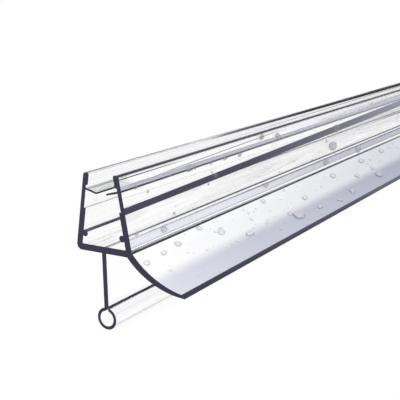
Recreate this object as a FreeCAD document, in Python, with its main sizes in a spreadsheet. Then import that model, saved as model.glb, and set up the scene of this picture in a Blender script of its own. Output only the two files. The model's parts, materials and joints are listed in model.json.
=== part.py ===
import FreeCAD, Part
import math
import os
import Sketcher

# Shower door seal strip: one length of clear plastic extrusion for the foot of a glass door.
# All sizes are in millimetres and degrees. The section is drawn upright, as it is worn on the
# glass, with its origin in the middle of the channel's floor. Y runs along the strip.
# At the end the strip is laid down the way it comes to rest on a level floor.

document = FreeCAD.newDocument("shower_door_seal")
sheet = document.addObject("Spreadsheet::Sheet", "sizes")

driving_sizes = {
    # stock
    "strip_length": 800.0,
    # pane that the channel clips onto, and the play left at each bead
    "glass_thickness": 6.0,
    "bead_clearance": 0.1,
    # channel
    "channel_width": 8.5,
    "channel_depth": 11.65,
    "floor_thickness": 1.1,
    "wall_thickness": 1.1,
    "upper_wall_thickness": 0.75,
    "step_height": 5.9,
    "leg_lean": 9.57,
    "outer_corner_radius": 0.95,
    "inner_corner_radius": 0.15,
    # hooks along the tops of the legs
    "hook_thickness": 1.1,
    "hook_height": 2.0,
    "top_outer_radius": 0.5,
    "top_inner_radius": 0.3,
    "hook_edge_radius": 0.15,
    # beads that guide the pane
    "bead_height": 1.75,
    "bead_radius": 0.55,
    # soft fins that wipe the pane
    "fin_height": 9.04,
    "fin_gap": 1.8,
    "fin_droop": 14.7,
    "fin_root_thickness": 0.38,
    "fin_tip_thickness": 0.3,
    "fin_tip_radius": 0.13,
    # web and the hollow bulb under it
    "web_height": 9.05,
    "web_thickness": 0.85,
    "bulb_diameter": 3.7,
    "bulb_bore": 2.6,
    "notch_width": 0.64,
    "notch_roof": 0.15,
    # curved lip that throws the water back into the tray
    "lip_reach": 9.5,
    "lip_drop": 4.98,
    "lip_tip_setback": 0.69,
    "lip_tip_rise": 0.6,
    "lip_root_height": 0.85,
    "lip_root_inset": 1.1,
    "lip_under_radius": 14.6,
    "lip_top_radius": 15.2,
    "lip_crease_radius": 0.2,
}
for row, (alias, value) in enumerate(driving_sizes.items(), start=1):
    sheet.set(f"A{row}", alias)
    sheet.set(f"B{row}", str(value))
    sheet.setAlias(f"B{row}", alias)
document.recompute()

# a rounding takes at most this share of the wall that it is cut from
ROUNDING_SHARE = 0.45
# two places closer than this are one and the same edge
EDGE_REACH = 0.01


def limited(radius, wall):
    """A rounding's own radius, or what its wall allows where that is less."""
    return f"min(sizes.{radius}; {ROUNDING_SHARE} * sizes.{wall})"


def leg_face(height, depth="0"):
    """How far from the middle a leg's inner face is, or a face that lies deeper in its wall."""
    return f"(sizes.channel_width / 2 - ({height}) * tan(sizes.leg_lean * 1deg) + ({depth}))"


def across(thickness):
    """A thickness square to the leaning leg, measured level."""
    return f"({thickness}) / cos(sizes.leg_lean * 1deg)"


# section lines that several features share
OUTER = across("sizes.wall_thickness")
UPPER_INNER = across("sizes.wall_thickness - sizes.upper_wall_thickness")
HOOK_INNER = across("sizes.wall_thickness - sizes.hook_thickness")
TOP = "sizes.channel_depth"
STEP = "sizes.step_height"
HOOK_FOOT = "(sizes.channel_depth - sizes.hook_height)"
UNDERSIDE = "-sizes.floor_thickness"
BULB_LEVEL = "(-sizes.floor_thickness - sizes.web_height - sizes.bulb_diameter / 2)"

body = document.addObject("PartDesign::Body", "seal_strip")
body.Label = "seal_strip"


def origin_plane(role):
    return next(plane for plane in body.Origin.OriginFeatures if plane.Role == role)


def number(expression):
    """What an expression over the sheet comes to."""
    value = sheet.evalExpression(expression.replace("sizes.", ""))
    return float(getattr(value, "Value", value))


def place(corner):
    """A corner of the section, given as two expressions, as a point of the sketch plane."""
    return FreeCAD.Vector(number(corner[0]), number(corner[1]), 0)


def section_sketch(label):
    sketch = body.newObject("Sketcher::SketchObject", label)
    sketch.AttachmentSupport = [(origin_plane("XZ_Plane"), "")]
    sketch.MapMode = "FlatFace"
    return sketch


def bind(sketch, constraint, expression):
    index = sketch.addConstraint(constraint)
    sketch.setExpression(f"Constraints[{index}]", expression)


def pin_point(sketch, edge, end, corner):
    """Dimensions one point of a sketch from the section's origin."""
    point = place(corner)
    across_value = Sketcher.Constraint("DistanceX", -1, 1, edge, end, point.x)
    up_value = Sketcher.Constraint("DistanceY", -1, 1, edge, end, point.y)
    bind(sketch, across_value, corner[0])
    bind(sketch, up_value, corner[1])


def arc_between(first, last, radius):
    """The arc that runs anticlockwise from first to last, with its centre on the left."""
    chord = last - first
    rise = math.sqrt(radius ** 2 - (chord.Length / 2) ** 2)
    left = FreeCAD.Vector(-chord.y, chord.x, 0).normalize()
    centre = (first + last) * 0.5 + left * rise
    circle = Part.Circle(centre, FreeCAD.Vector(0, 0, 1), radius)
    start = math.atan2(first.y - centre.y, first.x - centre.x)
    end = math.atan2(last.y - centre.y, last.x - centre.x)
    return Part.ArcOfCircle(circle, start, end)


def draw_polygon(label, corners):
    sketch = section_sketch(label)
    points = [place(corner) for corner in corners]
    count = len(corners)
    for index in range(count):
        sketch.addGeometry(Part.LineSegment(points[index], points[(index + 1) % count]), False)
    for index in range(count):
        sketch.addConstraint(Sketcher.Constraint("Coincident", index, 2, (index + 1) % count, 1))
    for index, corner in enumerate(corners):
        pin_point(sketch, index, 1, corner)
    return sketch


def draw_circle(label, centre, radius):
    sketch = section_sketch(label)
    circle = Part.Circle(place(centre), FreeCAD.Vector(0, 0, 1), number(radius))
    sketch.addGeometry(circle, False)
    pin_point(sketch, 0, 3, centre)
    bind(sketch, Sketcher.Constraint("Radius", 0, number(radius)), radius)
    return sketch


def extrude(sketch, label):
    """Gives a sketch the whole length of the strip, half of it each way."""
    pad = body.newObject("PartDesign::Pad", label)
    pad.Profile = sketch
    pad.SideType = "Symmetric"
    pad.setExpression("Length", "sizes.strip_length")
    document.recompute()
    return pad


def cut_through(sketch, label):
    """Cuts a sketch out of the whole length of the strip."""
    before = body.Shape.Volume
    pocket = body.newObject("PartDesign::Pocket", label)
    pocket.Profile = sketch
    pocket.SideType = "Symmetric"
    pocket.setExpression("Length", "sizes.strip_length")
    document.recompute()
    if not body.Shape.Volume < before:
        raise RuntimeError(f"{label} cuts nothing")
    return pocket


def round_edges(label, corners, radius):
    """Rounds the edges that run along the strip through the given corners of the section."""
    base = body.Tip
    names = []
    for corner in corners:
        point = place(corner)
        for index, edge in enumerate(base.Shape.Edges, start=1):
            ends = [vertex.Point for vertex in edge.Vertexes]
            if all(math.hypot(end.x - point.x, end.z - point.y) < EDGE_REACH for end in ends):
                names.append(f"Edge{index}")
    if len(names) != len(corners):
        raise RuntimeError(f"{label} found {len(names)} edges for {len(corners)} corners")
    fillet = body.newObject("PartDesign::Fillet", label)
    fillet.Base = (base, names)
    fillet.setExpression("Radius", radius)
    document.recompute()
    return fillet


# one half of the channel: floor, stepped leg and hook
floor_inner = (leg_face("0"), "0")
hook_edge = (leg_face(HOOK_FOOT, HOOK_INNER), HOOK_FOOT)
top_inner = (leg_face(TOP, HOOK_INNER), TOP)
top_outer = (leg_face(TOP, OUTER), TOP)
outer_corner = (leg_face(UNDERSIDE, OUTER), UNDERSIDE)
channel_outline = draw_polygon("channel_outline", [
    ("0", "0"),
    floor_inner,
    (leg_face(STEP), STEP),
    (leg_face(STEP, UPPER_INNER), STEP),
    (leg_face(HOOK_FOOT, UPPER_INNER), HOOK_FOOT),
    hook_edge,
    top_inner,
    top_outer,
    outer_corner,
    ("0", UNDERSIDE),
])
extrude(channel_outline, "channel_half")
round_edges("inner_corner", [floor_inner], limited("inner_corner_radius", "wall_thickness"))
round_edges("leg_top_outside", [top_outer], limited("top_outer_radius", "hook_thickness"))
round_edges("leg_top_inside", [top_inner], limited("top_inner_radius", "hook_thickness"))
round_edges("hook_edge", [hook_edge], limited("hook_edge_radius", "hook_height"))

# bead low on the inside of the leg, a running clearance away from the pane
bead_centre = (
    "(sizes.glass_thickness / 2 + sizes.bead_clearance + sizes.bead_radius)",
    "sizes.bead_height",
)
extrude(draw_circle("bead_outline", bead_centre, "sizes.bead_radius"), "bead")

# thin fin that droops inwards from the leg, rooted half way into the upper wall
fin_face = leg_face("sizes.fin_height", UPPER_INNER)
fin_root = f"({fin_face} + sizes.upper_wall_thickness / 2)"
fin_tip = "(sizes.fin_gap / 2)"


def fin_corner(place_across, thickness, side):
    """A corner of the fin: its middle line at that place, and half its thickness up or down."""
    level = f"sizes.fin_height + ({place_across} - {fin_face}) * tan(sizes.fin_droop * 1deg)"
    return (place_across, f"({level} + {side} * sizes.{thickness} / 2)")


fin_tip_upper = fin_corner(fin_tip, "fin_tip_thickness", 1)
fin_tip_lower = fin_corner(fin_tip, "fin_tip_thickness", -1)
fin_outline = draw_polygon("fin_outline", [
    fin_corner(fin_root, "fin_root_thickness", 1),
    fin_tip_upper,
    fin_tip_lower,
    fin_corner(fin_root, "fin_root_thickness", -1),
])
extrude(fin_outline, "fin")
fin_round = limited("fin_tip_radius", "fin_tip_thickness")
round_edges("fin_tip_round", [fin_tip_upper, fin_tip_lower], fin_round)

# the other half of the channel
mirrored = body.newObject("PartDesign::Mirrored", "channel")
mirrored.MirrorPlane = (origin_plane("YZ_Plane"), [""])
mirrored.TransformMode = "Whole shape"
body.Tip = mirrored
document.recompute()

# the corner under the leg that carries no lip
far_corner = (f"-{outer_corner[0]}", UNDERSIDE)
round_edges("outer_corner", [far_corner], "min(sizes.outer_corner_radius; sizes.floor_thickness)")

# web under the middle of the floor, down to the bulb
web_side = "sizes.web_thickness / 2"
web_outline = draw_polygon("web_outline", [
    (web_side, UNDERSIDE),
    (f"-{web_side}", UNDERSIDE),
    (f"-{web_side}", BULB_LEVEL),
    (web_side, BULB_LEVEL),
])
extrude(web_outline, "web")

# hollow bulb, split along its top by a notch that stops short of the web's sides
bulb_centre = ("0", BULB_LEVEL)
extrude(draw_circle("bulb_outline", bulb_centre, "sizes.bulb_diameter / 2"), "bulb")
cut_through(draw_circle("bore_outline", bulb_centre, "sizes.bulb_bore / 2"), "bore")
notch_side = "sizes.notch_width / 2"
notch_top = f"({BULB_LEVEL} + sizes.bulb_diameter / 2 - sizes.notch_roof)"
notch_outline = draw_polygon("notch_outline", [
    (notch_side, notch_top),
    (f"-{notch_side}", notch_top),
    (f"-{notch_side}", BULB_LEVEL),
    (notch_side, BULB_LEVEL),
])
cut_through(notch_outline, "notch")

# drip lip: two arcs from the foot of one leg to a bevelled tip, thinner towards the tip
lip_top_root = (
    leg_face("sizes.lip_root_height - sizes.floor_thickness", OUTER),
    "(sizes.lip_root_height - sizes.floor_thickness)",
)
lip_under_root = (f"({outer_corner[0]} - sizes.lip_root_inset)", UNDERSIDE)
lip_inside = (lip_under_root[0], lip_top_root[1])
lip_under_tip = (f"({outer_corner[0]} + sizes.lip_reach)", f"({UNDERSIDE} - sizes.lip_drop)")
lip_top_tip = (
    f"({lip_under_tip[0]} - sizes.lip_tip_setback)",
    f"({lip_under_tip[1]} + sizes.lip_tip_rise)",
)
lip_outline = section_sketch("lip_outline")
lip_arcs = [
    arc_between(place(lip_under_root), place(lip_under_tip), number("lip_under_radius")),
    arc_between(place(lip_top_root), place(lip_top_tip), number("lip_top_radius")),
]
lip_lines = [
    Part.LineSegment(place(lip_under_tip), place(lip_top_tip)),
    Part.LineSegment(place(lip_top_root), place(lip_inside)),
    Part.LineSegment(place(lip_inside), place(lip_under_root)),
]
lip_outline.addGeometry(lip_arcs + lip_lines, False)
under_arc, top_arc, tip_line, root_line, inside_line = range(5)
for first, first_end, second, second_end in (
    (under_arc, 2, tip_line, 1),
    (tip_line, 2, top_arc, 2),
    (top_arc, 1, root_line, 1),
    (root_line, 2, inside_line, 1),
    (inside_line, 2, under_arc, 1),
):
    joint = Sketcher.Constraint("Coincident", first, first_end, second, second_end)
    lip_outline.addConstraint(joint)
pin_point(lip_outline, tip_line, 1, lip_under_tip)
pin_point(lip_outline, tip_line, 2, lip_top_tip)
pin_point(lip_outline, root_line, 1, lip_top_root)
pin_point(lip_outline, inside_line, 1, lip_inside)
pin_point(lip_outline, inside_line, 2, lip_under_root)
under_radius = Sketcher.Constraint("Radius", under_arc, number("lip_under_radius"))
top_radius = Sketcher.Constraint("Radius", top_arc, number("lip_top_radius"))
bind(lip_outline, under_radius, "sizes.lip_under_radius")
bind(lip_outline, top_radius, "sizes.lip_top_radius")
extrude(lip_outline, "lip")
round_edges("lip_crease", [lip_top_root], limited("lip_crease_radius", "upper_wall_thickness"))

# laid down: it leans over until the bulb and the tip of the lip both touch the floor
tip = place(lip_under_tip) - place(bulb_centre)
bulb_radius = number("bulb_diameter / 2")
lean = math.degrees(math.atan2(tip.y, tip.x) + math.asin(bulb_radius / tip.Length))
turn = FreeCAD.Rotation(FreeCAD.Vector(0, 1, 0), lean)
body.Placement = FreeCAD.Placement(FreeCAD.Vector(0, 0, 0), turn)
document.recompute()
box = body.Shape.optimalBoundingBox(False, False)
shift = FreeCAD.Vector(-box.Center.x, -box.Center.y, -box.ZMin)
body.Placement = FreeCAD.Placement(shift, turn)
document.recompute()

for item in document.Objects:
    if "Invalid" in item.State or "Error" in item.State:
        raise RuntimeError(f"{item.Name} is {item.State}")
sub_parts = [body]
os.makedirs("parts", exist_ok=True)
for sub_part in sub_parts:
    shape = sub_part.Shape
    if shape.isNull() or not shape.isValid():
        raise RuntimeError(f"{sub_part.Label} has no valid shape")
    if len(shape.Solids) != 1:
        raise RuntimeError(f"{sub_part.Label} is not one solid")
    shape.exportStep(f"parts/{sub_part.Label}.step")
    size = shape.optimalBoundingBox(False, False)
    print(sub_part.Label, "box", round(size.XLength, 3), round(size.YLength, 3),
          round(size.ZLength, 3), "volume", round(shape.Volume, 1))
print("leans over by", round(lean, 3), "shift", round(shift.x, 4), round(shift.z, 4))
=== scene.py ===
import json
import math
import random

import bmesh
import bpy
from mathutils import Matrix, Vector


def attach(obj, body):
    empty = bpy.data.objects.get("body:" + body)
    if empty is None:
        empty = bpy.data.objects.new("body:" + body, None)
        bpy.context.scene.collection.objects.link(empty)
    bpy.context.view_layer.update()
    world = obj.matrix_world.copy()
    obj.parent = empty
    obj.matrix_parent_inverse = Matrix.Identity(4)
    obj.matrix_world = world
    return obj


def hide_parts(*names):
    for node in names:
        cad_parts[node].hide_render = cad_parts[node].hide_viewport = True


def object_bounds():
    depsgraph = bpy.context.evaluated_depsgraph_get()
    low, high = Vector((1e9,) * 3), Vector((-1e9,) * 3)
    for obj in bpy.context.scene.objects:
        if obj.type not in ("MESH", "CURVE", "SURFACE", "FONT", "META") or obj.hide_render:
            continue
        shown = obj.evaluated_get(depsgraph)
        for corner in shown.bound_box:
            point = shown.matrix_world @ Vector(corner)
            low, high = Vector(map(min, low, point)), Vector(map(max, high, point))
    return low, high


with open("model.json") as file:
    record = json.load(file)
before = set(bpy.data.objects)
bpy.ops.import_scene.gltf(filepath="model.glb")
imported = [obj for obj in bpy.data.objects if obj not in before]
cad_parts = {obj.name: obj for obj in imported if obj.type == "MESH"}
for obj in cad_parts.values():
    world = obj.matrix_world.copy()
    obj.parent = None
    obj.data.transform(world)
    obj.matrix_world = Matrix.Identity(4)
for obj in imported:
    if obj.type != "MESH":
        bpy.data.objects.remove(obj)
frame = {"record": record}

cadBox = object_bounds()
scene = bpy.context.scene
mm = 0.001

# The section's origin is the middle of the channel's floor. It leans over on the bulb and the lip.
channelMount = next(m for m in frame["record"]["mounts"] if m["name"] == "glass_channel")
sectionUp = Vector(channelMount["axis"]).normalized()
sectionRight = Vector((sectionUp.z, 0, -sectionUp.x))
print("the packed strip is loaded")

strip = {  # millimetres and radians, with the section standing upright
    "paneThickness": 6.0,
    "beadPlay": 0.1,
    "channelWidth": 8.5,
    "channelDepth": 11.65,
    "floorThickness": 1.1,
    "wallThickness": 1.1,
    "upperWallThickness": 0.75,
    "stepHeight": 5.9,
    "legLean": math.radians(9.57),
    "outerCornerRadius": 0.95,
    "innerCornerRadius": 0.15,
    "hookThickness": 1.1,
    "hookHeight": 2.0,
    "topOuterRadius": 0.5,
    "topInnerRadius": 0.3,
    "hookEdgeRadius": 0.15,
    "beadHeight": 1.75,
    "beadRadius": 0.55,
    "finHeight": 9.04,
    "finGap": 1.8,
    "finDroop": math.radians(14.7),
    "finRootThickness": 0.38,
    "finTipThickness": 0.3,
    "finTipRadius": 0.13,
    "webHeight": 9.05,
    "webThickness": 0.85,
    "bulbRadius": 1.85,
    "boreRadius": 1.3,
    "notchWidth": 0.64,
    "notchRoof": 0.15,
    "lipReach": 9.5,
    "lipDrop": 4.98,
    "lipTipSetback": 0.69,
    "lipTipRise": 0.6,
    "lipRootHeight": 0.85,
    "lipRootInset": 1.1,
    "lipUnderRadius": 14.6,
    "lipTopRadius": 15.2,
    "lipCreaseRadius": 0.2,
    "edgeSoftening": 0.04,  # the die leaves its sharp corners a little soft
    "nearEnd": cadBox[0].y,
    "farEnd": cadBox[1].y,
}

arcSteps = {  # how many straight pieces each curve of the section is made of
    "bulb": 56,
    "bore": 48,
    "lip": 30,
    "bead": 20,
    "outerCorner": 10,
    "crest": 8,
    "innerCrest": 6,
    "small": 4,
    "soft": 2,
}
samePlace = 0.0005  # millimetres: two points this near are one
cutReach = 1e-5  # a cut uses a point this near instead of making its own

# Only clear and milk are the plastic's own colours, the lip being milky white. All the other colours here are
# painted shade and painted reflection, standing for the greys and dark lines that refraction and reflection
# give clear plastic.
tintsAndPaintedShades = {  # red, green and blue, then how much light passes through
    "clear": (1.0, 1.0, 1.0, 1.0),
    "faintShade": (0.80, 0.80, 0.88, 0.70),
    "palest": (0.76, 0.77, 0.86, 0.45),
    "pale": (0.50, 0.50, 0.60, 0.30),
    "lavender": (0.44, 0.44, 0.56, 0.08),
    "grey": (0.26, 0.26, 0.33, 0.0),
    "dark": (0.13, 0.13, 0.18, 0.0),
    "deepSlate": (0.028, 0.029, 0.052, 0.0),
    "slate": (0.046, 0.044, 0.082, 0.0),
    "black": (0.020, 0.020, 0.032, 0.0),
    "finPale": (0.84, 0.88, 0.86, 0.40),
    "milk": (1.00, 1.00, 1.00, 0.05),
    "milkFarShade": (0.64, 0.67, 0.74, 0.05),
    "shade": (0.70, 0.70, 0.80, 0.05),
    "shadeMiddle": (0.53, 0.55, 0.656, 0.05),
    "shadeFar": (0.31, 0.335, 0.45, 0.05),
}

# Painted shade and painted reflection: the lip's tip and crease, the web's joint with the bulb, a line along
# the bulb's side, the crests, the fins, the ledge and the bead top are painted dark or pale where clear
# plastic shows dark lines. The lip is milky white, with painted reflection greying its lower part and painted
# shade darkening it along the strip.
looks = {  # what each part of the surface looks like, so many millimetres from the cut end
    "clear": ((0, "clear"),),
    "lipTip": ((0, "deepSlate"), (60, "slate"), (120, "dark")),
    "crease": ((0, "deepSlate"), (70, "slate"), (120, "dark")),
    "lipUpper": ((5, "milk"), (110, "milkFarShade")),
    "lipLower": ((0, "shade"), (30, "shadeMiddle"), (100, "shadeFar")),
    "bulbJointShade": ((0, "slate"),),
    "bulbSide": ((0, "palest"), (90, "pale")),
    "leftCrest": ((0, "dark"), (30, "grey"), (46, "lavender"), (90, "lavender"), (120, "grey")),
    "leftInnerCrest": ((32, "clear"), (42, "grey"), (50, "dark"), (80, "black")),
    "leftFin": ((8, "finPale"), (10, "clear")),
    "leftLedge": ((0, "pale"),),
    "leftBeadTop": ((10, "dark"), (11, "clear")),
    "rightCrest": ((0, "deepSlate"), (70, "deepSlate"), (120, "slate")),
    "finTip": ((0, "deepSlate"), (50, "deepSlate"), (120, "slate")),
}

# Painted shade and painted reflection along the flat walls: lines and shades that stand for the inner ribs,
# bead, fin, ledge and hooks seen through and in the clear wall. Where two cover a place, the first one shows.
# Side 1 is the lip side's outer wall, and side -1 the inside of the other leg's hook.
# Low and high are a height and its rise for each millimetre along.
bands = {
    "slateBand": {
        "side": 1, "low": (5.62, 0.0139), "high": (6.62, 0.0185),
        "look": ((0, "slate"), (40, "slate"), (80, "dark"), (125, "grey"))},
    "underCrest": {
        "side": 1, "low": (10.94, 0), "high": (11.1, 0),
        "look": ((7, "slate"), (14, "grey"), (22, "clear"))},
    "risingLine": {
        "side": 1, "low": (9.76, 0.0205), "high": (9.88, 0.0205),
        "look": ((8, "clear"), (14, "grey"), (22, "dark"), (48, "dark"), (56, "lavender"), (66, "clear"))},
    "upperSheen": {
        "side": 1, "low": (9.88, 0), "high": (11.0, 0),
        "look": ((50, "clear"), (120, "faintShade"))},
    "finEdge": {
        "side": 1, "low": (9.78, 0), "high": (9.86, 0),
        "look": ((0, "grey"), (30, "lavender"))},
    "finLine": {
        "side": 1, "low": (9.14, 0), "high": (9.27, 0),
        "look": ((0, "slate"), (30, "dark"), (60, "grey"), (110, "lavender"))},
    "finShade": {
        "side": 1, "low": (9.36, 0), "high": (9.78, 0),
        "look": ((0, "lavender"),)},
    "stepLine": {
        "side": 1, "low": (6.12, 0), "high": (6.24, 0),
        "look": ((40, "clear"), (46, "dark"), (110, "lavender"))},
    "lowerLine": {
        "side": 1, "low": (4.70, 0.0078), "high": (4.80, 0.0078),
        "look": ((60, "clear"), (80, "pale"), (115, "grey"))},
    "beadTopLine": {
        "side": 1, "low": (2.31, 0), "high": (2.52, 0),
        "look": ((0, "grey"), (12, "slate"), (50, "deepSlate"))},
    "beadFootLine": {
        "side": 1, "low": (1.68, 0), "high": (1.82, 0),
        "look": ((0, "pale"), (24, "lavender"), (38, "grey"), (65, "dark"), (110, "slate"))},
    "footShade": {
        "side": 1, "low": (0.52, 0), "high": (1.68, 0),
        "look": ((0, "palest"), (35, "palest"), (75, "pale"), (115, "lavender"))},
    "cornerLine": {
        "side": 1, "low": (0.38, 0), "high": (0.52, 0),
        "look": ((0, "lavender"), (110, "grey"))},
    "hookLine": {
        "side": -1, "low": (10.05, 0.0047), "high": (10.17, 0.0047),
        "look": ((40, "clear"), (60, "pale"), (90, "grey"), (115, "slate"))},
    "leftCrestLine": {
        "side": -1, "low": (11.36, -0.0035), "high": (11.6, 0),
        "look": ((32, "clear"), (42, "grey"), (50, "dark"), (80, "black"))},
}

paint = {  # millimetres, unless a line says otherwise
    "bandRun": 125.0,  # the bands climb as far as this from the cut end, and run level from there on
    "onFace": 0.02,  # a point this near to a flat face lies on it
    "lipTurn": (0.36, 0.62),  # where the lip's painted reflection turns from white to grey, as a share of its reach
    "creaseReach": (0.21, 0.1),  # the painted shade along the lip's root crease, down the lip and up the wall
    "bulbSide": (-53, -42),  # a faint painted shade line along the bulb, between these two angles round it, in degrees
    "jointReach": 0.36,  # the painted shade line where the web meets the bulb, to each side
    "jointWidth": 1.6,  # the most that line is from the middle, as a share of half the web
    "jointFacing": 0.3,
    "crestDepth": 0.55,  # the lip side's crest is painted dark, as shade, from this deep in the wall outwards
    "crestFacing": 0.55,
    "topFacing": 0.2,  # a face on top of a leg looks up by at least this share
    "ledgeReach": 0.03,
    "finRootGap": 0.06,  # the fins end this far out from the wall they grow from
    "finTipShare": 0.6,
    "finTopFacing": 0.5,
    "finZone": (1.0, 0.1),  # the fins lie this far over the step, and this far under the hooks
    "farRings": (180.0, 300.0, 500.0),
    "endFacing": 0.9,
    "sideFacing": 0.1,  # a face along the strip looks along it by less than this share
    "solid": 0.01,  # a face that passes less light than this is a solid line
    "sharpAngle": math.radians(28),
}
bulbLevel = -strip["floorThickness"] - strip["webHeight"] - strip["bulbRadius"]
sectionOrigin = Vector(channelMount["pos_m"]) - sectionUp * strip["beadHeight"] * mm
sectionOrigin.y = 0


def legFace(height, depth=0.0):
    across = strip["channelWidth"] / 2 - height * math.tan(strip["legLean"])
    return Vector((across + depth / math.cos(strip["legLean"]), 0, height))


def meeting(a, b, c, d):  # where line a-b crosses line c-d, in the section
    first, second = b - a, d - c
    cross = first.x * second.z - first.z * second.x
    share = ((c.x - a.x) * second.z - (c.z - a.z) * second.x) / cross
    return a + first * share


def arcCentre(a, b, radius):  # of the arc from a to b that turns left
    chord = b - a
    left = Vector((-chord.z, 0, chord.x)).normalized()
    return (a + b) / 2 + left * math.sqrt(radius ** 2 - (chord.length / 2) ** 2)


def lineTo(outline, last, place):
    vert = outline.verts.new(place)
    outline.edges.new((last, vert))
    return vert


def arcTo(outline, last, centre, place, steps, turn=1):  # turn 1 goes anticlockwise, -1 clockwise
    start = last.co - centre
    end = place - centre
    angle = math.atan2(end.z, end.x) - math.atan2(start.z, start.x)
    angle = angle % (2 * math.pi) if turn > 0 else -((-angle) % (2 * math.pi))
    spun = bmesh.ops.spin(outline, geom=[last], cent=centre, axis=(0, -1, 0), angle=angle, steps=steps)
    return next(part for part in spun["geom_last"] if isinstance(part, bmesh.types.BMVert))


def roundCorner(outline, corner, radius, steps):
    ends = [edge.other_vert(corner).co - corner.co for edge in corner.link_edges]
    offset = radius / math.tan(ends[0].angle(ends[1]) / 2)
    bmesh.ops.bevel(outline, geom=[corner], offset=offset, offset_type="OFFSET", segments=steps,
                    profile=0.5, affect="VERTICES", material=-1)


outerCorner = legFace(-strip["floorThickness"], strip["wallThickness"])
lipUnderTip = Vector((outerCorner.x + strip["lipReach"], 0, -strip["floorThickness"] - strip["lipDrop"]))
lipTopTip = lipUnderTip + Vector((-strip["lipTipSetback"], 0, strip["lipTipRise"]))
lipTopRoot = legFace(strip["lipRootHeight"] - strip["floorThickness"], strip["wallThickness"])
lipTop = arcCentre(lipTopRoot, lipTopTip, strip["lipTopRadius"])
webSide = strip["webThickness"] / 2
junctionLevel = bulbLevel + math.sqrt(strip["bulbRadius"] ** 2 - webSide ** 2)
footHeight = strip["channelDepth"] - strip["hookHeight"]
upperDepth = strip["wallThickness"] - strip["upperWallThickness"]
bead = Vector((strip["paneThickness"] / 2 + strip["beadPlay"] + strip["beadRadius"], 0, strip["beadHeight"]))
beadShoulder = bead.z + strip["beadRadius"] / 2
crestFoot = strip["channelDepth"] - strip["topOuterRadius"]
finZone = (strip["stepHeight"] + paint["finZone"][0], footHeight - paint["finZone"][1])
finTipReach = strip["finGap"] / 2 + strip["finTipRadius"] * paint["finTipShare"]
nearEnd = strip["nearEnd"] / mm
length = (strip["farEnd"] - strip["nearEnd"]) / mm
alongStrip = Vector((0, 1, 0))
upright = Vector((0, 0, 1))


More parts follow.
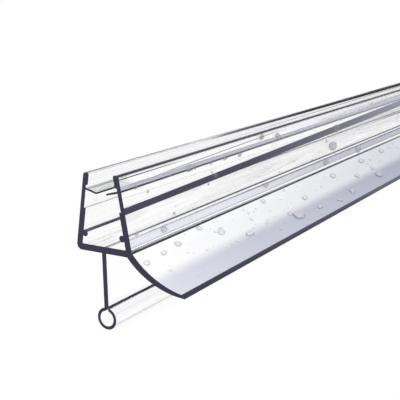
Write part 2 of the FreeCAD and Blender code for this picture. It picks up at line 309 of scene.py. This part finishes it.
def drawSection():
    outline = bmesh.new()
    corners = []  # (vertex, radius, steps), rounded once the outline is closed
    underside = -strip["floorThickness"]
    hookDepth = strip["wallThickness"] - strip["hookThickness"]
    soft = (strip["edgeSoftening"], arcSteps["soft"])
    small = arcSteps["small"]
    bulb = Vector((0, 0, bulbLevel))
    lipUnderRoot = Vector((outerCorner.x - strip["lipRootInset"], 0, underside))

    faceDown = (legFace(0) - legFace(1)).normalized()
    along = (bead - legFace(0)).dot(faceDown)
    nearest = legFace(0) + faceDown * along
    half = math.sqrt(strip["beadRadius"] ** 2 - (bead - nearest).length_squared)
    beadTop, beadFoot = nearest - faceDown * half, nearest + faceDown * half

    finFace = legFace(strip["finHeight"], upperDepth)
    finRootAcross = finFace.x + strip["upperWallThickness"] / 2

    def finCorner(across, thickness, side):
        level = strip["finHeight"] + (across - finFace.x) * math.tan(strip["finDroop"])
        return Vector((across, 0, level + side * thickness / 2))

    wallTop, wallFoot = legFace(footHeight, upperDepth), legFace(strip["stepHeight"], upperDepth)
    finTip = [finCorner(strip["finGap"] / 2, strip["finTipThickness"], side) for side in (1, -1)]
    finRoot = [meeting(tip, finCorner(finRootAcross, strip["finRootThickness"], side), wallTop, wallFoot)
               for tip, side in zip(finTip, (1, -1))]

    # from the leg's outer foot up, over the hook and down the inside to the floor
    rightLeg = [
        (legFace(strip["channelDepth"], strip["wallThickness"]), strip["topOuterRadius"], arcSteps["crest"]),
        (legFace(strip["channelDepth"], hookDepth), strip["topInnerRadius"], arcSteps["innerCrest"]),
        (legFace(footHeight, hookDepth), strip["hookEdgeRadius"], small),
        (wallTop, *soft),
        (finRoot[0], *soft),
        (finTip[0], strip["finTipRadius"], small),
        (finTip[1], strip["finTipRadius"], small),
        (finRoot[1], *soft),
        (wallFoot, *soft),
        (legFace(strip["stepHeight"]), *soft),
        (beadTop, 0, 0),
        (beadFoot, 0, 0),
        (legFace(0), strip["innerCornerRadius"], small),
    ]
    mirror = Vector((-1, 1, 1))
    leftLeg = [(place * mirror, radius, steps) for place, radius, steps in reversed(rightLeg)]

    def drawLeg(last, leg, beadCentre, beadEnd):
        for place, radius, steps in leg:
            if (place - beadEnd).length < samePlace:
                last = arcTo(outline, last, beadCentre, place, arcSteps["bead"])
                continue
            last = lineTo(outline, last, place)
            if radius:
                corners.append((last, radius, steps))
        return last

    first = outline.verts.new(Vector((webSide, 0, junctionLevel)))
    last = lineTo(outline, first, Vector((webSide, 0, underside)))
    last = lineTo(outline, last, lipUnderRoot)
    lipUnder = arcCentre(lipUnderRoot, lipUnderTip, strip["lipUnderRadius"])
    last = arcTo(outline, last, lipUnder, lipUnderTip, arcSteps["lip"])
    corners.append((last, *soft))
    last = lineTo(outline, last, lipTopTip)
    corners.append((last, *soft))
    last = arcTo(outline, last, lipTop, lipTopRoot, arcSteps["lip"], turn=-1)
    corners.append((last, strip["lipCreaseRadius"], small))
    last = drawLeg(last, rightLeg, bead, beadFoot)
    last = drawLeg(last, leftLeg, bead * mirror, beadTop * mirror)
    last = lineTo(outline, last, outerCorner * mirror)
    corners.append((last, strip["outerCornerRadius"], arcSteps["outerCorner"]))
    last = lineTo(outline, last, Vector((-webSide, 0, underside)))
    last = lineTo(outline, last, Vector((-webSide, 0, junctionLevel)))
    arcTo(outline, last, bulb, first.co.copy(), arcSteps["bulb"])

    # the bore, with its notch up into the web's foot
    notchSide = strip["notchWidth"] / 2
    roof = bulbLevel + strip["bulbRadius"] - strip["notchRoof"]
    mouth = bulbLevel + math.sqrt(strip["boreRadius"] ** 2 - notchSide ** 2)
    start = outline.verts.new(Vector((notchSide, 0, mouth)))
    last = lineTo(outline, start, Vector((notchSide, 0, roof)))
    last = lineTo(outline, last, Vector((-notchSide, 0, roof)))
    last = lineTo(outline, last, Vector((-notchSide, 0, mouth)))
    arcTo(outline, last, bulb, start.co.copy(), arcSteps["bore"])

    bmesh.ops.remove_doubles(outline, verts=outline.verts[:], dist=samePlace)
    for corner, radius, steps in corners:
        roundCorner(outline, corner, radius, steps)
    return outline


def toFrameMatrix():  # lays the upright section over at the strip's own lean, in metres
    rows = Matrix((sectionRight, Vector((0, 1, 0)), sectionUp)).transposed().to_4x4()
    return Matrix.Translation(sectionOrigin) @ rows @ Matrix.Scale(mm, 4)


def mixed(first, second, share):
    return tuple(a + (b - a) * share for a, b in zip(first, second))


def depthIn(place):  # how far inside the wide face of its leg a point is
    return (abs(place.x) - legFace(place.z).x) * math.cos(strip["legLean"])


def alongFrom(y):
    return y - nearEnd


def lookAt(stops, y):
    along = alongFrom(y)
    before = stops[0]
    for stop in stops:
        if along < stop[0]:
            share = 0 if before is stop else (along - before[0]) / (stop[0] - before[0])
            return mixed(tintsAndPaintedShades[before[1]], tintsAndPaintedShades[stop[1]], share)
        before = stop
    return tintsAndPaintedShades[stops[-1][1]]


def bandEdge(height, rise, y):
    return height + rise * min(paint["bandRun"], alongFrom(y))


def onBandWall(band, middle):
    if band["side"] > 0:
        onFace = abs(depthIn(middle) - strip["wallThickness"]) < paint["onFace"]
        return onFace and middle.x > 0 and lipTopRoot.z < middle.z < crestFoot
    return middle.x < 0 and footHeight < middle.z and abs(depthIn(middle)) < paint["onFace"]


def inBand(band, middle):
    if not onBandWall(band, middle):
        return False
    return bandEdge(*band["low"], middle.y) < middle.z < bandEdge(*band["high"], middle.y)


# Which painted shade line a face of a leg gets: the crests, the fin tips, the left fin's top, the ledge and
# the bead top.
def partOfLeg(middle, facing):
    left = middle.x < 0
    depth = depthIn(middle)
    beadAway = (Vector((abs(middle.x), 0, middle.z)) - bead).length
    onBead = beadAway < strip["beadRadius"] + paint["onFace"] and depth < 0
    if middle.z > crestFoot and facing.z > paint["topFacing"]:
        if left:
            return "leftInnerCrest" if depth < strip["topInnerRadius"] else "leftCrest"
        return "rightCrest" if depth > paint["crestDepth"] and facing.z > paint["crestFacing"] else "clear"
    if left and onBead and middle.z > beadShoulder:
        return "leftBeadTop"
    if left and abs(middle.z - strip["stepHeight"]) < paint["ledgeReach"] and 0 < depth < upperDepth:
        return "leftLedge"
    if finZone[0] < middle.z < finZone[1] and depth < upperDepth - paint["finRootGap"]:
        if abs(middle.x) < finTipReach:
            return "finTip"
        if facing.z > paint["finTopFacing"] and left:
            return "leftFin"
    return "clear"


# Picks each face's colour: painted shade on the lip's tip, the crease, the web's joint and the bulb's side;
# the lip's milky white, greyed by painted reflection and painted shade; then the painted wall bands and the
# legs' painted lines.
def paintFor(middle, facing, corner):
    if middle.x > lipTopTip.x:
        return lookAt(looks["lipTip"], corner.y)
    below, above = paint["creaseReach"]
    if middle.x > lipTopRoot.x - above and -below < middle.z - lipTopRoot.z < above and facing.x > 0:
        return lookAt(looks["crease"], corner.y)
    if middle.x > outerCorner.x and middle.z < lipTopRoot.z:
        low, high = paint["lipTurn"]
        share = (corner.x - lipTopRoot.x) / (lipTopTip.x - lipTopRoot.x)
        share = max(0.0, min(1.0, (share - low) / (high - low)))
        share = share * share * (3 - 2 * share)  # eased at both ends
        return mixed(lookAt(looks["lipUpper"], corner.y), lookAt(looks["lipLower"], corner.y), share)
    nearMiddle = abs(middle.x) < webSide * paint["jointWidth"]
    if nearMiddle and abs(middle.z - junctionLevel) < paint["jointReach"] and facing.x > paint["jointFacing"]:
        return lookAt(looks["bulbJointShade"], corner.y)
    if middle.z < bulbLevel + strip["bulbRadius"]:
        low, high = paint["bulbSide"]
        outer = facing.dot(Vector((middle.x, 0, middle.z - bulbLevel))) > 0
        if outer and low < math.degrees(math.atan2(middle.z - bulbLevel, middle.x)) < high:
            return lookAt(looks["bulbSide"], corner.y)
    if middle.z < 0:
        return tintsAndPaintedShades["clear"]
    for band in bands.values():
        if inBand(band, middle):
            return lookAt(band["look"], corner.y)
    return lookAt(looks[partOfLeg(middle, facing)], corner.y)


def cutRings(section):  # rings round the strip for the paint to change between
    places = {along for stops in looks.values() for along, name in stops}
    places |= {along for band in bands.values() for along, name in band["look"]}
    for along in sorted(places | {paint["bandRun"]} | set(paint["farRings"])):
        if along > 0:
            bisectFaces(section, section.faces[:], alongStrip * (nearEnd + along), alongStrip)


def bisectFaces(section, faces, place, facing):
    geom = set(faces)
    for face in faces:
        geom.update(face.edges)
        geom.update(face.verts)
    bmesh.ops.bisect_plane(section, geom=list(geom), dist=cutReach, plane_co=place,
                           plane_no=facing.normalized())


def facesAlong(section, wanted):  # the faces along the strip whose middles are wanted
    return [face for face in section.faces
            if abs(face.normal.y) < paint["sideFacing"] and wanted(face.calc_center_median())]


def cutBand(section, band):
    runEnd = nearEnd + paint["bandRun"]
    for height, rise in (band["low"], band["high"]):
        climbing = facesAlong(section, lambda middle: onBandWall(band, middle) and middle.y < runEnd)
        bisectFaces(section, climbing, Vector((0, nearEnd, height)), Vector((0, -rise, 1)))
        level = facesAlong(section, lambda middle: onBandWall(band, middle) and middle.y >= runEnd)
        bisectFaces(section, level, Vector((0, runEnd, height + rise * paint["bandRun"])), upright)


def makeStrip():
    section = drawSection()
    bmesh.ops.triangle_fill(section, use_beauty=True, use_dissolve=False, edges=section.edges[:])
    bmesh.ops.translate(section, verts=section.verts[:], vec=alongStrip * nearEnd)
    drawn = bmesh.ops.extrude_face_region(section, geom=section.faces[:], use_keep_orig=True)
    moved = [part for part in drawn["geom"] if isinstance(part, bmesh.types.BMVert)]
    bmesh.ops.translate(section, verts=moved, vec=alongStrip * length)
    bmesh.ops.recalc_face_normals(section, faces=section.faces[:])
    cutRings(section)
    for band in bands.values():
        cutBand(section, band)
    lip = facesAlong(section, lambda middle: middle.x > lipTopRoot.x)
    bisectFaces(section, lip, lipTopRoot - upright * paint["creaseReach"][0], upright)
    web = facesAlong(section, lambda middle: middle.z < 0 and abs(abs(middle.x) - webSide) < paint["onFace"])
    bisectFaces(section, web, upright * (junctionLevel + paint["jointReach"]), upright)
    colours = section.loops.layers.float_color.new("paint")
    for face in section.faces:
        face.smooth = True
        face.material_index = 1 if abs(face.normal.y) > paint["endFacing"] else 0
        middle = face.calc_center_median()
        for corner in face.loops:
            corner[colours] = paintFor(middle, face.normal, corner.vert.co)
        # faces whose painted shade passes almost no light get the dull line material
        if face.material_index == 0 and max(corner[colours][3] for corner in face.loops) < paint["solid"]:
            face.material_index = 2
    bmesh.ops.transform(section, matrix=toFrameMatrix(), verts=section.verts[:])
    mesh = bpy.data.meshes.new("clearStrip")
    section.to_mesh(mesh)
    section.free()
    mesh.set_sharp_from_angle(angle=paint["sharpAngle"])
    drawn = bpy.data.objects.new("clearStrip", mesh)
    scene.collection.objects.link(drawn)
    return drawn


noiseRange = (0.3, 0.7)  # where nearly all of a noise's values lie


def streaks(nodes, links, across, along, detail):  # a noise drawn out along the strip, as a die leaves it
    coords = nodes.new("ShaderNodeTexCoord")
    stretch = nodes.new("ShaderNodeMapping")
    stretch.inputs["Scale"].default_value = (across, along, across)
    noise = nodes.new("ShaderNodeTexNoise")
    noise.inputs["Scale"].default_value = 1.0
    noise.inputs["Detail"].default_value = detail
    links.new(coords.outputs["Object"], stretch.inputs["Vector"])
    links.new(stretch.outputs["Vector"], noise.inputs["Vector"])
    return noise.outputs["Fac"]


def spread(nodes, links, value, low, high):
    node = nodes.new("ShaderNodeMapRange")
    node.inputs["From Min"].default_value, node.inputs["From Max"].default_value = noiseRange
    node.inputs["To Min"].default_value, node.inputs["To Max"].default_value = low, high
    links.new(value, node.inputs["Value"])
    return node.outputs[0]


def addBump(nodes, links, height, depth, skin):
    bump = nodes.new("ShaderNodeBump")
    bump.inputs["Distance"].default_value = depth
    links.new(height, bump.inputs["Height"])
    links.new(bump.outputs["Normal"], skin.inputs["Normal"])


def newMaterial(name):
    material = bpy.data.materials.new(name)
    material.use_nodes = True
    nodes = material.node_tree.nodes
    nodes.clear()
    return material, nodes, material.node_tree.links


clearFinish = {
    "dieLines": 900.0,  # how fine the die's marks are across the strip, and along it
    "dieRun": 2.0,
    "dieDetail": 2.0,
    "dieDepth": 1.1e-6,
    "roughness": (0.0, 0.015),
    "refraction": 1.53,
    "tint": (0.60, 0.58, 0.68, 1),
    "tintDensity": 1.5,
}


def clearPvc():
    material, nodes, links = newMaterial("clearPvc")
    out = nodes.new("ShaderNodeOutputMaterial")
    skin = nodes.new("ShaderNodeBsdfPrincipled")
    skin.inputs["IOR"].default_value = clearFinish["refraction"]
    dieLines = streaks(nodes, links, clearFinish["dieLines"], clearFinish["dieRun"], clearFinish["dieDetail"])
    links.new(spread(nodes, links, dieLines, *clearFinish["roughness"]), skin.inputs["Roughness"])
    addBump(nodes, links, dieLines, clearFinish["dieDepth"], skin)
    # the painted colour and how much light passes: clear plastic, the lip's milky white, and painted shade
    # and reflection lines
    painted = nodes.new("ShaderNodeAttribute")
    painted.attribute_name = "paint"
    links.new(painted.outputs["Color"], skin.inputs["Base Color"])
    links.new(painted.outputs["Alpha"], skin.inputs["Transmission Weight"])
    body = nodes.new("ShaderNodeVolumeAbsorption")
    body.inputs["Color"].default_value = clearFinish["tint"]
    body.inputs["Density"].default_value = clearFinish["tintDensity"]
    links.new(skin.outputs["BSDF"], out.inputs["Surface"])
    links.new(body.outputs["Volume"], out.inputs["Volume"])
    return material


lineFinish = {"roughness": 0.4, "shine": 0.15}  # the solid painted shade lines hardly shine, so they stay dark


def paintedShadeLine():
    material, nodes, links = newMaterial("paintedShadeLine")
    out = nodes.new("ShaderNodeOutputMaterial")
    skin = nodes.new("ShaderNodeBsdfPrincipled")
    painted = nodes.new("ShaderNodeAttribute")
    painted.attribute_name = "paint"
    links.new(painted.outputs["Color"], skin.inputs["Base Color"])
    skin.inputs["Roughness"].default_value = lineFinish["roughness"]
    skin.inputs["Specular IOR Level"].default_value = lineFinish["shine"]
    links.new(skin.outputs["BSDF"], out.inputs["Surface"])
    return material


endFinish = {
    "deep": (0.022, 0.020, 0.046, 1),
    "light": (0.038, 0.035, 0.072, 1),
    "sawMarks": 3000.0,
    "sawDetail": 3.0,
    "sawDepth": 1e-5,
    "roughness": (0.4, 0.6),
    "shine": 0.2,
}


def sawnEnd():
    material, nodes, links = newMaterial("sawnEnd")
    out = nodes.new("ShaderNodeOutputMaterial")
    skin = nodes.new("ShaderNodeBsdfPrincipled")
    sawMarks = streaks(nodes, links, endFinish["sawMarks"], endFinish["sawMarks"], endFinish["sawDetail"])
    mix = nodes.new("ShaderNodeMixRGB")
    mix.inputs["Color1"].default_value = endFinish["deep"]
    mix.inputs["Color2"].default_value = endFinish["light"]
    links.new(sawMarks, mix.inputs["Fac"])
    links.new(mix.outputs[0], skin.inputs["Base Color"])
    links.new(spread(nodes, links, sawMarks, *endFinish["roughness"]), skin.inputs["Roughness"])
    addBump(nodes, links, sawMarks, endFinish["sawDepth"], skin)
    skin.inputs["Specular IOR Level"].default_value = endFinish["shine"]
    links.new(skin.outputs["BSDF"], out.inputs["Surface"])
    return material


drops = {  # millimetres: how far round the lip's top or up the wall, how far along, and how wide
    "onLip": ((0.23, 1.5, 0.9), (0.51, 4.5, 0.6), (0.20, 6.6, 0.9), (0.16, 11.1, 1.0), (0.47, 16.0, 0.5),
              (0.07, 18.8, 0.9), (0.29, 23.5, 1.2), (0.57, 24.7, 0.6), (0.55, 29.7, 1.4), (0.18, 34.8, 0.7),
              (0.47, 38.2, 0.6), (0.76, 38.0, 0.7), (0.10, 42.0, 0.9), (0.56, 45.9, 0.9), (0.69, 47.4, 2.0),
              (0.39, 56.0, 1.2), (0.73, 56.5, 1.1), (0.81, 65.1, 1.0), (0.22, 73.8, 1.3), (0.75, 73.4, 1.3),
              (0.46, 83.0, 1.2), (0.18, 91.5, 1.4), (0.70, 91.4, 1.6), (0.45, 92.9, 1.1), (0.16, 105.5, 1.4)),
    "onWall": ((2.14, 1.8, 0.5), (7.95, 6.7, 0.6), (1.29, 9.3, 1.1), (9.34, 13.5, 0.5), (9.42, 19.5, 1.4),
               (6.65, 27.5, 0.8), (9.12, 31.5, 0.9), (8.76, 36.9, 0.8), (1.51, 45.1, 1.1), (10.74, 46.4, 1.2),
               (9.95, 53.1, 1.3), (1.07, 74.0, 1.6), (3.89, 78.9, 2.2), (7.42, 82.2, 1.7), (0.95, 93.1, 1.9)),
    "tinyOnLip": 620,
    "tinyOnWall": 200,
    "tinyWidth": (0.22, 0.8),
    "tinyShare": 2.5,  # the larger this is, the more of the tiny drops are the smallest
    "lipZone": (0.06, 0.93),
    "wallZone": (0.3, 10.8),
    "endGap": 2.0,
    "stretch": 1.8,  # how much longer a drop is along the strip than across
    "tinyStretch": 1.3,
    "swell": (0.10, 0.06),  # how far its outline strays from round, in two lobes and in three
    # a drop's bright middle, a painted highlight, and how far it stands out as a share of its width
    "lipDrop": {"paintedBrightMiddle": (1.0, 1.0, 1.0, 0.3), "plumpness": 0.42},
    "wallDrop": {"paintedBrightMiddle": (1.0, 1.0, 1.0, 0.85), "plumpness": 0.22},
    # the rim's colours: painted shade on its shaded side, paler on its lit side
    "rimShaded": (0.02, 0.02, 0.045, 0.0),
    "rimLit": (0.34, 0.34, 0.42, 0.2),
    "rimShare": 0.3,
    "rimFade": 1.7,  # how soon the rim's painted shade turns pale, going round
    "shadedSide": 1.2,  # which way the rim's painted shaded side faces, in radians from straight across the strip
    "crescent": 0.08,  # how much of the round the painted shade crescent above the rim takes, and how high it goes
    "crescentTop": 0.6,
    "rounds": (14, 12),  # the sides and levels of the ball that a drop is cut from
    "tinyRounds": (8, 8),
    "body": 0.6,  # how solid a drop looks: the rest of the light goes straight through
    "refraction": 1.33,
    "sunk": 0.04,  # how far a drop's foot lies in the plastic, as a share of its width
    "seed": 7,
}


def onLipTop(share):  # a place on the lip's top, and the way it faces
    first, last = lipTopRoot - lipTop, lipTopTip - lipTop
    start = math.atan2(first.z, first.x)
    angle = start + share * ((math.atan2(last.z, last.x) - start) % (2 * math.pi))
    outward = Vector((math.cos(angle), 0, math.sin(angle)))
    return lipTop + outward * strip["lipTopRadius"], -outward


def onOuterWall(height):
    outward = Vector((math.cos(strip["legLean"]), 0, math.sin(strip["legLean"])))
    return legFace(height, strip["wallThickness"]), outward


def addDrop(water, carrier, where, kind, along, width, wobble):
    place, facing = where
    dome = bmesh.new()
    colours = dome.loops.layers.float_color.new("paint")
    tiny = width < drops["tinyWidth"][1]
    sides, levels = drops["tinyRounds"] if tiny else drops["rounds"]
    bmesh.ops.create_uvsphere(dome, u_segments=sides, v_segments=levels, radius=width / 2)
    bmesh.ops.bisect_plane(dome, geom=dome.verts[:] + dome.edges[:] + dome.faces[:], dist=cutReach,
                           plane_co=(0, 0, 0), plane_no=-upright, clear_outer=True)
    bmesh.ops.holes_fill(dome, edges=dome.edges[:], sides=0)
    stretch = drops["tinyStretch"] if tiny else drops["stretch"]
    lobes = [wobble.uniform(0, 2 * math.pi) for lobe in range(2)]
    for vert in dome.verts:
        angle = math.atan2(vert.co.y, vert.co.x)
        swell = 1 + sum(by * math.sin(count * angle + lobe)
                        for by, count, lobe in zip(drops["swell"], (2, 3), lobes))
        vert.co = Vector((vert.co.x * swell, vert.co.y * swell * stretch, vert.co.z * 2 * kind["plumpness"]))
    rise = width * kind["plumpness"]
    for face in dome.faces:
        face.smooth = len(face.verts) <= 4  # all but the foot
        for corner in face.loops:
            # painted shade on the rim's shaded side and in a crescent above it, and a painted bright middle
            # elsewhere
            level = corner.vert.co.z / rise
            lit = 0.5 - 0.5 * math.cos(math.atan2(corner.vert.co.y, corner.vert.co.x) - drops["shadedSide"])
            if level < drops["rimShare"]:
                corner[colours] = mixed(drops["rimShaded"], drops["rimLit"], min(1.0, drops["rimFade"] * lit))
            elif lit < drops["crescent"] and level < drops["crescentTop"] and not tiny:
                corner[colours] = drops["rimShaded"]
            else:
                corner[colours] = kind["paintedBrightMiddle"]
    axes = Matrix((alongStrip.cross(facing), alongStrip, facing)).transposed().to_4x4()
    at = place + alongStrip * (nearEnd + along) - facing * drops["sunk"] * width
    bmesh.ops.transform(dome, matrix=Matrix.Translation(at) @ axes, verts=dome.verts[:])
    dome.to_mesh(carrier)
    dome.free()
    water.from_mesh(carrier)


def makeDrops():
    water = bmesh.new()
    carrier = bpy.data.meshes.new("oneDrop")
    wobble = random.Random(drops["seed"])
    for share, along, width in drops["onLip"]:
        addDrop(water, carrier, onLipTop(share), drops["lipDrop"], along, width, wobble)
    for height, along, width in drops["onWall"]:
        addDrop(water, carrier, onOuterWall(height), drops["wallDrop"], along, width, wobble)
    small, large = drops["tinyWidth"]
    for count, onSurface, kind, zone in (
            (drops["tinyOnLip"], onLipTop, drops["lipDrop"], drops["lipZone"]),
            (drops["tinyOnWall"], onOuterWall, drops["wallDrop"], drops["wallZone"])):
        for drop in range(count):
            width = small + (large - small) * wobble.random() ** drops["tinyShare"]
            along = wobble.uniform(drops["endGap"], length - drops["endGap"])
            addDrop(water, carrier, onSurface(wobble.uniform(*zone)), kind, along, width, wobble)
    bpy.data.meshes.remove(carrier)
    bmesh.ops.transform(water, matrix=toFrameMatrix(), verts=water.verts[:])
    mesh = bpy.data.meshes.new("waterDrops")
    water.to_mesh(mesh)
    water.free()
    drawn = bpy.data.objects.new("waterDrops", mesh)
    scene.collection.objects.link(drawn)
    return drawn


def waterMaterial():
    material, nodes, links = newMaterial("water")
    out = nodes.new("ShaderNodeOutputMaterial")
    skin = nodes.new("ShaderNodeBsdfPrincipled")
    painted = nodes.new("ShaderNodeAttribute")
    painted.attribute_name = "paint"
    links.new(painted.outputs["Color"], skin.inputs["Base Color"])
    links.new(painted.outputs["Alpha"], skin.inputs["Transmission Weight"])
    skin.inputs["Roughness"].default_value = 0.0
    skin.inputs["IOR"].default_value = drops["refraction"]
    skin.inputs["Alpha"].default_value = drops["body"]
    links.new(skin.outputs["BSDF"], out.inputs["Surface"])
    return material


studio = {  # metres and watts
    "floorSize": 3.0,
    "floorColour": (0.97, 0.97, 0.97, 1),
    "floorGlow": 0.94,  # how much of the floor's own shading the plain white covers, where it is seen
    "ceilingColour": (0.88, 0.88, 0.92, 1),
    "ceilingRise": (0.6, 0.85),  # how high the ceiling's colour begins, and where it is full
    "lampPower": 3.0,
    "lampSize": 1.0,
    "lampPlace": (0.7, -0.9, 1.0),
}


def larger(nodes, links, first, second):
    node = nodes.new("ShaderNodeMath")
    node.operation = "MAXIMUM"
    links.new(first, node.inputs[0])
    links.new(second, node.inputs[1])
    return node.outputs[0]


def floorMaterial():
    material, nodes, links = newMaterial("studioFloor")
    out = nodes.new("ShaderNodeOutputMaterial")
    matt = nodes.new("ShaderNodeBsdfDiffuse")
    matt.inputs["Color"].default_value = studio["floorColour"]
    white = nodes.new("ShaderNodeEmission")
    rays = nodes.new("ShaderNodeLightPath")
    mix = nodes.new("ShaderNodeMixShader")
    seen = larger(nodes, links, rays.outputs["Is Camera Ray"], rays.outputs["Is Glossy Ray"])
    seen = larger(nodes, links, seen, rays.outputs["Is Transmission Ray"])
    part = nodes.new("ShaderNodeMath")
    part.operation = "MULTIPLY"
    part.inputs[1].default_value = studio["floorGlow"]
    links.new(seen, part.inputs[0])
    links.new(part.outputs[0], mix.inputs["Fac"])
    links.new(matt.outputs[0], mix.inputs[1])
    links.new(white.outputs[0], mix.inputs[2])
    links.new(mix.outputs[0], out.inputs["Surface"])
    return material


def makeWorld():
    world = bpy.data.worlds.new("studio")
    scene.world = world
    world.use_nodes = True
    nodes, links = world.node_tree.nodes, world.node_tree.links
    background = nodes["Background"]
    coords = nodes.new("ShaderNodeTexCoord")
    split = nodes.new("ShaderNodeSeparateXYZ")
    links.new(coords.outputs["Generated"], split.inputs[0])
    rise = nodes.new("ShaderNodeMapRange")
    rise.inputs["From Min"].default_value, rise.inputs["From Max"].default_value = studio["ceilingRise"]
    links.new(split.outputs["Z"], rise.inputs["Value"])
    rays = nodes.new("ShaderNodeLightPath")
    seen = larger(nodes, links, rays.outputs["Is Glossy Ray"], rays.outputs["Is Transmission Ray"])
    amount = nodes.new("ShaderNodeMath")
    amount.operation = "MULTIPLY"
    links.new(seen, amount.inputs[0])
    links.new(rise.outputs[0], amount.inputs[1])
    mix = nodes.new("ShaderNodeMixRGB")
    mix.inputs["Color1"].default_value = (1, 1, 1, 1)
    mix.inputs["Color2"].default_value = studio["ceilingColour"]
    links.new(amount.outputs[0], mix.inputs["Fac"])
    links.new(mix.outputs[0], background.inputs["Color"])
    background.inputs["Strength"].default_value = 1.0


def addLamp():
    lamp = bpy.data.lights.new("softLamp", "AREA")
    lamp.energy = studio["lampPower"]
    lamp.size = studio["lampSize"]
    holder = bpy.data.objects.new("softLamp", lamp)
    holder.location = studio["lampPlace"]
    holder.rotation_euler = (-holder.location).to_track_quat("-Z", "Y").to_euler()
    scene.collection.objects.link(holder)


clearStrip = makeStrip()
clearStrip.data.materials.append(clearPvc())
clearStrip.data.materials.append(sawnEnd())
clearStrip.data.materials.append(paintedShadeLine())
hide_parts("seal_strip")
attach(clearStrip, "root")
print("the clear strip is drawn")

waterDrops = makeDrops()
waterDrops.data.materials.append(waterMaterial())
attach(waterDrops, "root")
print("the water drops lie on the lip and the wall")

floorMesh = bmesh.new()
bmesh.ops.create_grid(floorMesh, x_segments=1, y_segments=1, size=studio["floorSize"])
floorData = bpy.data.meshes.new("floor")
floorMesh.to_mesh(floorData)
floorMesh.free()
floor = bpy.data.objects.new("floor", floorData)
floor.data.materials.append(floorMaterial())
scene.collection.objects.link(floor)
makeWorld()
addLamp()
print("the studio is lit")

# From the middle of the bulb at the near end, in millimetres and in the upright section's directions.
cameraView = {
    "right": 81.87,
    "along": -102.34,
    "up": 50.61,
    "ahead": (-0.51506, 0.82458, -0.23406),
    "top": (-0.10905, 0.20781, 0.97207),
    "fieldOfView": math.radians(26.06),
    "clipStart": 0.005,
    "bounces": 64,  # clear walls behind clear walls need many
    "seeThroughs": 32,
}


def leaned(direction):
    return sectionRight * direction[0] + Vector((0, direction[1], 0)) + sectionUp * direction[2]


bulbMiddle = sectionOrigin + sectionUp * bulbLevel * mm + Vector((0, strip["nearEnd"], 0))
lens = bpy.data.cameras.new("camera")
lens.angle = cameraView["fieldOfView"]
lens.clip_start = cameraView["clipStart"]
camera = bpy.data.objects.new("camera", lens)
scene.collection.objects.link(camera)
place = bulbMiddle + leaned((cameraView["right"], cameraView["along"], cameraView["up"])) * mm
ahead = leaned(cameraView["ahead"]).normalized()
top = leaned(cameraView["top"]).normalized()
side = ahead.cross(top)
turn = Matrix((side, top, -ahead)).transposed().to_4x4()
camera.matrix_world = Matrix.Translation(place) @ turn
scene.camera = camera

scene.view_settings.view_transform = "Standard"
scene.cycles.max_bounces = cameraView["bounces"]
scene.cycles.transmission_bounces = cameraView["bounces"]
scene.cycles.glossy_bounces = cameraView["bounces"]
scene.cycles.transparent_max_bounces = cameraView["seeThroughs"]
print("the camera is placed")
